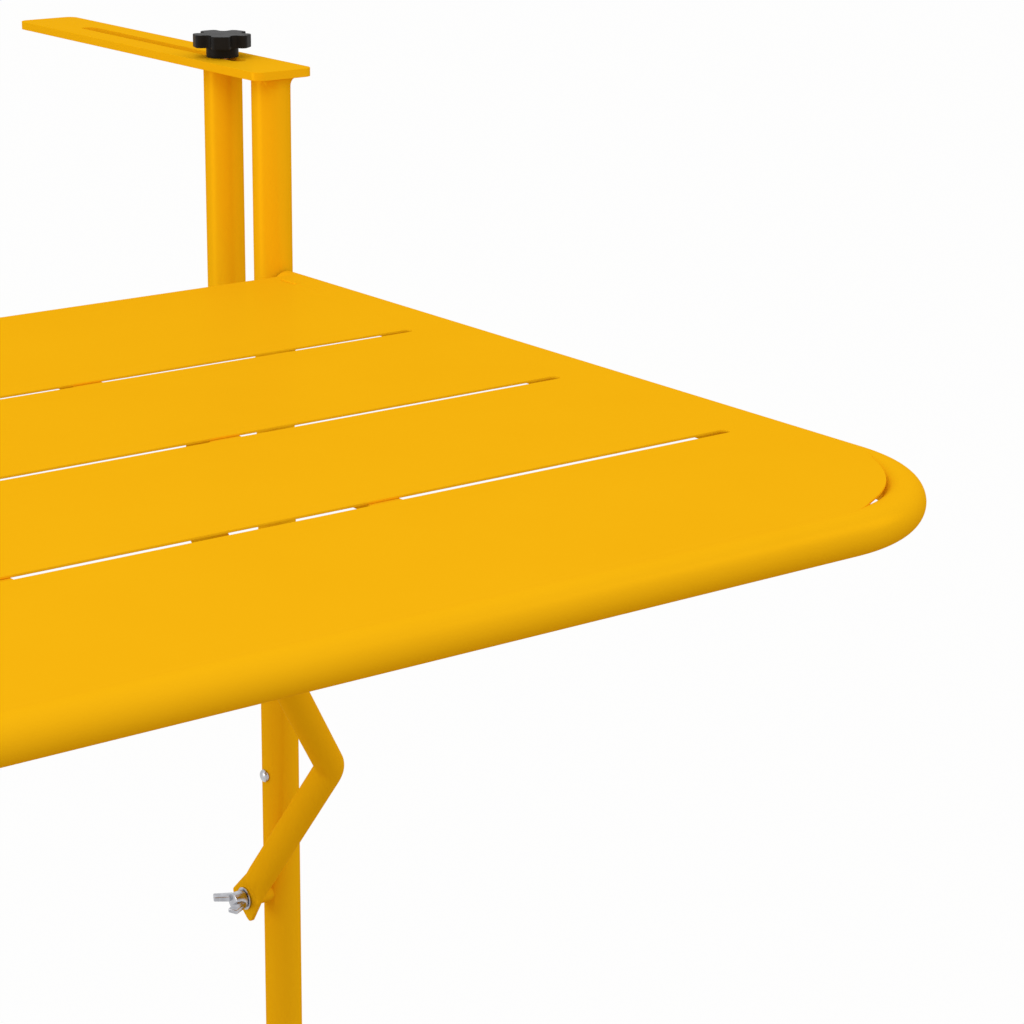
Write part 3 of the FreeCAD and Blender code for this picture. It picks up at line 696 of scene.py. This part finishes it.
def pressed(x, y, height, end):
    """Where a point of the round tube goes when its end is pressed between two flat dies."""
    risen = min(max((height - end["flat"]) / end["blend"], 0), 1)
    if risen > 0:
        half = STAY_RADIUS + (LUG_NECK_HALF - STAY_RADIUS) * (1 - risen) ** PRESS_STEEPNESS
    else:
        share = (height + end["end"]) / (end["flat"] + end["end"])
        half = LUG_END_HALF + (LUG_NECK_HALF - LUG_END_HALF) * share
    short = end["corner"] - (height + end["end"])
    if short > 0:
        half -= end["corner"] - math.sqrt(end["corner"] ** 2 - short ** 2)
    side = min(max(y / STAY_RADIUS, -1), 1)
    squared = max(1 - abs(side) ** LUG_SQUARENESS, 0) ** (1 / LUG_SQUARENESS)
    plate = LUG_HALF_THICK * (1 - risen) * squared
    bulge = STAY_RADIUS * math.sqrt(1 - (1 - risen) ** 2) * math.sqrt(1 - side ** 2)
    thick = (plate ** PRESS_SOFTNESS + bulge ** PRESS_SOFTNESS) ** (1 / PRESS_SOFTNESS)
    return math.copysign(thick, x), half * side


def upright_tube(shape, heights):
    """A tube of rings at heights in millimetres, closed at its ends; gives its rings."""
    ring = bmesh.ops.create_circle(
        shape, cap_ends=True, radius=STAY_RADIUS, segments=STAY_SIDES,
        matrix=Matrix.Translation(UP * heights[0])
    )["verts"]
    rings = [ring]
    for below, height in zip(heights, heights[1:]):
        ring = drawn_on(shape, ring, UP * (height - below))
        rings.append(ring)
    return rings


def bent_stay():
    """A right-hand stay, drawn upright over its foot screw, in millimetres."""
    shape = bmesh.new()
    lean = STAY_HEAD - STAY_FOOT
    length = lean.length
    neck = Vector((STAY_HEAD_X, 0, length - HEAD_SHAPE["flat"]))
    corner = Vector((STAY_X, 0, STAY_BEND_AT))
    slant = (neck - corner).normalized()
    turn = slant.angle(UP)
    bend_from = STAY_BEND_AT - STAY_BEND_RADIUS * math.tan(turn / 2)

    foot_heights = pressed_heights(FOOT_SHAPE)
    run = Vector((foot_heights[-1], 0, 0)), Vector((bend_from, 0, 0))
    straight = [point.x for point in between(*run, RUN_RINGS)[1:]]
    foot = upright_tube(shape, foot_heights + straight)
    for ring, height in zip(foot, foot_heights):
        for vert in ring:
            vert.co.x, vert.co.y = pressed(vert.co.x, vert.co.y, height, FOOT_SHAPE)
    bmesh.ops.translate(shape, vec=(STAY_X, 0, 0), verts=shape.verts)
    centre = (STAY_X - STAY_BEND_RADIUS, 0, bend_from)
    bend_end = bent_on(shape, foot[-1], centre, (0, -1, 0), turn, STAY_BEND_STEPS)

    head_heights = pressed_heights(HEAD_SHAPE)
    head = upright_tube(shape, head_heights)
    for ring, height in zip(head, head_heights):
        past = max(height - HEAD_SHAPE["flat"], 0)
        tilt = Matrix.Rotation(-turn * smooth_step(past / HEAD_SHAPE["blend"]), 3, "Y")
        for vert in ring:
            x, y = pressed(vert.co.x, vert.co.y, height, HEAD_SHAPE)
            if past > 0:
                vert.co = neck - slant * past + tilt @ Vector((x, y, 0))
            else:
                vert.co = Vector((STAY_HEAD_X + x, y, length - height))
    bmesh.ops.bridge_loops(shape, edges=ring_edges(bend_end) + ring_edges(head[-1]))
    return shape, lean


for side, sign in SIDES:
    stay, lean = bent_stay()
    place = (
        Matrix.Scale(MM, 4)
        @ Matrix.Translation(STAY_FOOT)
        @ Matrix.Rotation(math.atan2(-lean.y, lean.z), 4, "X")
        @ Matrix.Diagonal((sign, 1, 1, 1))
    )
    bmesh.ops.transform(stay, matrix=place, verts=stay.verts)
    bmesh.ops.recalc_face_normals(stay, faces=stay.faces)
    piece = new_piece("bent_stay_" + side, "stay_" + side, stay, coat_finish)
    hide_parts("stay_" + side)

# Stay brackets: folded sheet channels welded under the outer crossbars, each with a plated rivet
# through its two cheeks and the stay's upper flat.
BRACKET_EASE = 0.35 * MM
BRACKET_WELD = 1.0 * MM
PIN_RADIUS = 2.5
PIN_HEAD_RADIUS = 4.0
PIN_HEAD = 1.4

eased("stay_brackets", BRACKET_EASE, coat_finish)
bracket_low, bracket_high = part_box("stay_brackets")
stay_pin_line = middle_line("stay_pins")
pin_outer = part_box("stay_pins")[1].x - PIN_HEAD * MM
pin_length = 2 * (pin_outer - STAY_HEAD_X * MM)
bracket_welds = bmesh.new()
bracket_pins = bmesh.new()
for side, sign in SIDES:
    for y in (bracket_low.y, bracket_high.y):
        near = Vector((sign * (STAY_HEAD_X * MM - pin_length / 2), y, bracket_high.z))
        far = Vector((sign * pin_outer, y, bracket_high.z))
        weld_bead(bracket_welds, between(near, far, BAR_WELD_STEPS), BRACKET_WELD)
    outer = stay_pin_line + Vector((sign * pin_outer, 0, 0))
    inner = stay_pin_line + Vector((sign * (pin_outer - pin_length), 0, 0))
    turned(bracket_pins, domed(PIN_HEAD_RADIUS, PIN_HEAD), outer, (sign, 0, 0))
    turned(bracket_pins, domed(PIN_HEAD_RADIUS, PIN_HEAD), inner, (-sign, 0, 0))
    turned(bracket_pins, rod(PIN_RADIUS, pin_length / MM), inner, (sign, 0, 0))
bmesh.ops.recalc_face_normals(bracket_welds, faces=bracket_welds.faces)
new_piece("bracket_welds", "top", bracket_welds, coat_finish)
pins = new_piece("bracket_rivets", "top", bracket_pins, zinc_finish)
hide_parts("stay_pins")

# Foot screws: a plated wing screw and a plain washer clamp each stay's foot against a threaded boss,
# which is coated with the post that it is fixed in. A small domed stop rivet sits above it.
WING_HUB = ((0, 0), (3.85, 0), (4.0, 0.2), (3.8, 4.8), (3.6, 5.3), (3.2, 5.5), (0, 5.5))
WING_SHANK = 2.5
WING_SIZE = (8.6, 4.4, 2.0)
WING_TIP = Vector((7.7, 10.5))
WING_SWEEP = math.radians(62)
WING_TURN = math.radians(4)
WING_EASE = 0.45
WING_EASE_ROUNDS = 3
WING_ROOT_SWELL = 1.3
FOOT_DISC = (5.0, 1.0, 2.55)
FOOT_ROOM = 0.1 * MM
BOSS_FACE = 276.35 * MM
BOSS_DEPTH = 7.0 * MM
BOSS_RADIUS = 4.2
BOSS_BORE = 2.5
BOSS_EASE = 0.6
STOP_RADIUS = 2.8
STOP_HEAD = 1.8
STOP_SHANK = (1.6, 5.0)


def wing_screw():
    """The screw in millimetres, its seat at the origin, its hub rising along Z and its wings along Y."""
    shape = bmesh.new()
    for sign in (1, -1):
        made = bmesh.ops.create_cube(shape, size=1)["verts"]
        bmesh.ops.scale(shape, vec=(WING_SIZE[2], WING_SIZE[1], WING_SIZE[0]), verts=made)
        root = [vert for vert in made if vert.co.z < 0]
        bmesh.ops.scale(shape, vec=(WING_ROOT_SWELL, 1, 1), verts=root)
        edges = list({edge for vert in made for edge in vert.link_edges})
        rounded = bmesh.ops.bevel(
            shape, geom=edges, offset=WING_EASE, offset_type="OFFSET", affect="EDGES",
            segments=WING_EASE_ROUNDS, profile=0.5, material=-1
        )["verts"]
        wing = list({v for vert in rounded for face in vert.link_faces for v in face.verts})
        place = (
            Matrix.Translation((0, sign * WING_TIP.x, WING_TIP.y))
            @ Matrix.Rotation(sign * (WING_SWEEP - QUARTER), 4, "X")
            @ Matrix.Translation((0, 0, -WING_SIZE[0] / 2))
        )
        bmesh.ops.transform(shape, matrix=place, verts=wing)
    bmesh.ops.scale(shape, vec=(MM, MM, MM), verts=shape.verts)
    turned(shape, WING_HUB, Vector((0, 0, 0)), UP)
    return shape


screw_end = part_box("wing_screw_right")[1].x
foot_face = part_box("foot_washer_right")[0].x
foot_line = STAY_FOOT * MM
stop_line = middle_line("stop_rivets")
boss_length = (post_x - post_radius + BOSS_DEPTH - BOSS_FACE) / MM
bosses = bmesh.new()
stop_rivets = bmesh.new()
for side, sign in SIDES:
    seat = foot_face - FOOT_ROOM
    screw = wing_screw()
    turned(screw, rod(WING_SHANK, (screw_end - seat) / MM), Vector((0, 0, 0)), -UP)
    place = (
        Matrix.Translation(foot_line + Vector((sign * seat, 0, 0)))
        @ Matrix.Rotation(WING_TURN, 4, "X")
        @ Matrix.Rotation(-sign * QUARTER, 4, "Y")
    )
    bmesh.ops.transform(screw, matrix=place, verts=screw.verts)
    piece = new_piece("winged_screw_" + side, "wing_" + side, screw, zinc_finish)
    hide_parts("wing_screw_" + side)

    washer = bmesh.new()
    turned(washer, disc(*FOOT_DISC), foot_line + Vector((sign * foot_face, 0, 0)), (sign, 0, 0))
    piece = new_piece("plain_washer_" + side, "stay_" + side, washer, zinc_finish)
    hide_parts("foot_washer_" + side)

    boss_base = foot_line + Vector((sign * BOSS_FACE, 0, 0))
    turned(bosses, disc(BOSS_RADIUS, boss_length, BOSS_BORE, BOSS_EASE), boss_base, (sign, 0, 0))
    post_side = stop_line + Vector((sign * (post_x - post_radius), 0, 0))
    turned(stop_rivets, domed(STOP_RADIUS, STOP_HEAD), post_side, (-sign, 0, 0))
    turned(stop_rivets, rod(*STOP_SHANK), post_side, (sign, 0, 0))
piece = new_piece("threaded_bosses", "hanger", bosses, coat_finish)
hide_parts("stay_bosses")
piece = new_piece("domed_stops", "hanger", stop_rivets, zinc_finish)
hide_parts("stop_rivets")

# Clamps: a yellow tube hangs under each strap, closed above by a plated plug that holds the stud,
# and below by a pushed-in black plastic cap like those in the posts' feet.
BLACK = (0.007, 0.007, 0.008, 1)
BLACK_WORN = (0.014, 0.013, 0.012, 1)
BLACK_CLOUD = 5 * MM
BLACK_GRAIN = 0.3 * MM
BLACK_GRAIN_DEPTH = 0.02 * MM
BLACK_ROUGH = 0.38
BLACK_ROUGH_DRIFT = 0.14
BLACK_GLOSS = 0.08
CAP_HEAD = 2.5
CAP_ROUND = 1.0
CAP_CROWN = 0.3
CAP_ROUND_STEPS = 4
CAP_NECK = 6.75


def moulded_black():
    material = bpy.data.materials.new("moulded_black")
    plastic = Finish(material)
    cloud = plastic.noise(BLACK_CLOUD, NOISE_MOTTLED)
    grain = plastic.noise(BLACK_GRAIN, NOISE_PLAIN)
    plastic.surface({
        "Base Color": plastic.mix(cloud, BLACK, BLACK_WORN),
        "Roughness": BLACK_ROUGH + cloud * BLACK_ROUGH_DRIFT,
        "Normal": plastic.bump(grain, BLACK_GRAIN_DEPTH),
        "Specular IOR Level": BLACK_GLOSS,
    })
    return material


black_finish = moulded_black()


def tube_cap(shape, node, x, y):
    """A cap with a softly crowned head below and a neck up in its tube."""
    low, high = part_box(node)
    top = (high.z - low.z) / MM
    radius = post_radius / MM
    profile = [(0, 0)]
    for step in range(CAP_ROUND_STEPS + 1):
        turn = QUARTER * step / CAP_ROUND_STEPS
        out = radius - CAP_ROUND + CAP_ROUND * math.sin(turn)
        profile.append((out, CAP_CROWN + CAP_ROUND * (1 - math.cos(turn))))
    profile += [(radius, CAP_HEAD), (CAP_NECK, CAP_HEAD), (CAP_NECK, top), (0, top)]
    turned(shape, profile, Vector((x, y, low.z)), UP)


post_caps = bmesh.new()
for side, sign in SIDES:
    dress("clamp_tube_" + side, coat_finish)
    for name in ("clamp_stud_", "clamp_plug_"):
        dress(name + side, zinc_finish)
    clamp_low, clamp_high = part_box("clamp_tube_" + side)
    cap = bmesh.new()
    tube_cap(cap, "clamp_cap_" + side, sign * post_x, (clamp_low.y + clamp_high.y) / 2)
    piece = new_piece("clamp_end_cap_" + side, "clamp_" + side, cap, black_finish)
    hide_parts("clamp_cap_" + side)
    tube_cap(post_caps, "post_caps", sign * post_x, post_y)
piece = new_piece("post_end_caps", "hanger", post_caps, black_finish)
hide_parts("post_caps")

# Knobs: five-lobed star knobs of moulded black plastic with crisp edges, each round a turned brass
# bush that runs on the stud.
KNOB_EASE = 0.25 * MM
KNOB_SET = math.radians(-10)
BRASS = (0.70, 0.48, 0.19, 1)
BRASS_DULL = (0.55, 0.36, 0.13, 1)
BRASS_CLOUD = 2 * MM
BRASS_GRAIN = 0.3 * MM
BRASS_GRAIN_DEPTH = 0.01 * MM
BRASS_ROUGH = 0.25
BRASS_ROUGH_DRIFT = 0.15


def turned_brass():
    material = bpy.data.materials.new("turned_brass")
    brass = Finish(material)
    cloud = brass.noise(BRASS_CLOUD, NOISE_MOTTLED)
    grain = brass.noise(BRASS_GRAIN, NOISE_PLAIN)
    brass.surface({
        "Base Color": brass.mix(cloud, BRASS_DULL, BRASS),
        "Metallic": 1.0,
        "Roughness": BRASS_ROUGH + cloud * BRASS_ROUGH_DRIFT,
        "Normal": brass.bump(grain, BRASS_GRAIN_DEPTH),
    })
    return material


brass_finish = turned_brass()
for side, sign in SIDES:
    dress("knob_bush_" + side, brass_finish)
    knob = eased("knob_" + side, KNOB_EASE, black_finish)
    knob_low, knob_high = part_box("knob_bush_" + side)
    middle = (knob_low + knob_high) / 2
    centred = Matrix.Translation(middle)
    knob.data.transform(centred @ Matrix.Rotation(sign * KNOB_SET, 4, "Z") @ centred.inverted())

# The studio: a pale floor well below the table, which shows white to the eye but keeps the table's
# shadow, a soft even sky, a large lamp high in front on the left and a weaker one at each side.
FLOOR_DROP = 1.15
FLOOR_SIZE = 60.0
FLOOR_SHADE = (0.50, 0.43, 0.34, 1)
WHITE = (1, 1, 1, 1)
WHITE_SHARE = 0.98
SKY = (1.0, 0.985, 0.96, 1)
SKY_STRENGTH = 0.82
LAMP_AIM = Vector((0, -0.2, -0.1))
LAMPS = (                     # name, place, size and power
    ("high_lamp", (-1.9, -1.9, 2.8), 2.2, 34.0),
    ("left_lamp", (-3.1, 1.0, 0.0), 1.6, 17.0),
    ("right_lamp", (2.8, -1.8, 1.3), 1.6, 8.0),
)


def seen_directly(finish):
    """1 on a ray that shows a thing to the eye, straight, in a mirror or through glass, else 0."""
    eye = finish.node("ShaderNodeLightPath", {}, {}, "Is Camera Ray")
    mirror = finish.node("ShaderNodeLightPath", {}, {}, "Is Glossy Ray")
    glass = finish.node("ShaderNodeLightPath", {}, {}, "Is Transmission Ray")
    return eye + mirror + glass


floor_material = bpy.data.materials.new("pale_floor")
pale = Finish(floor_material)
matt = pale.node("ShaderNodeBsdfDiffuse", {}, {"Color": FLOOR_SHADE})
white = pale.node("ShaderNodeEmission", {}, {"Color": WHITE, "Strength": 1.0})
both = pale.node("ShaderNodeMixShader", {}, {0: seen_directly(pale) * WHITE_SHARE, 1: matt, 2: white})
pale.node("ShaderNodeOutputMaterial", {}, {"Surface": both})

floor_shape = bmesh.new()
bmesh.ops.create_grid(floor_shape, x_segments=1, y_segments=1, size=FLOOR_SIZE / 2)
floor_mesh = bpy.data.meshes.new("floor")
floor_shape.to_mesh(floor_mesh)
floor_shape.free()
floor_mesh.materials.append(floor_material)
floor = bpy.data.objects.new("floor", floor_mesh)
floor.location = (0, 0, -FLOOR_DROP)
scene.collection.objects.link(floor)
floor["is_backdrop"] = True

scene.world = bpy.data.worlds.new("sky")
sky = Finish(scene.world)
soft = sky.node("ShaderNodeBackground", {}, {"Color": SKY, "Strength": SKY_STRENGTH})
bright = sky.node("ShaderNodeBackground", {}, {"Color": WHITE, "Strength": 1.0})
mixed = sky.node("ShaderNodeMixShader", {}, {0: seen_directly(sky), 1: soft, 2: bright})
sky.node("ShaderNodeOutputWorld", {}, {"Surface": mixed})

for name, place, size, power in LAMPS:
    lamp_data = bpy.data.lights.new(name, "AREA")
    lamp_data.size = size
    lamp_data.energy = power
    lamp = bpy.data.objects.new(name, lamp_data)
    lamp.location = place
    lamp.rotation_euler = (LAMP_AIM - Vector(place)).to_track_quat("-Z", "Y").to_euler()
    scene.collection.objects.link(lamp)

scene.view_settings.view_transform = "Standard"
low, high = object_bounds()
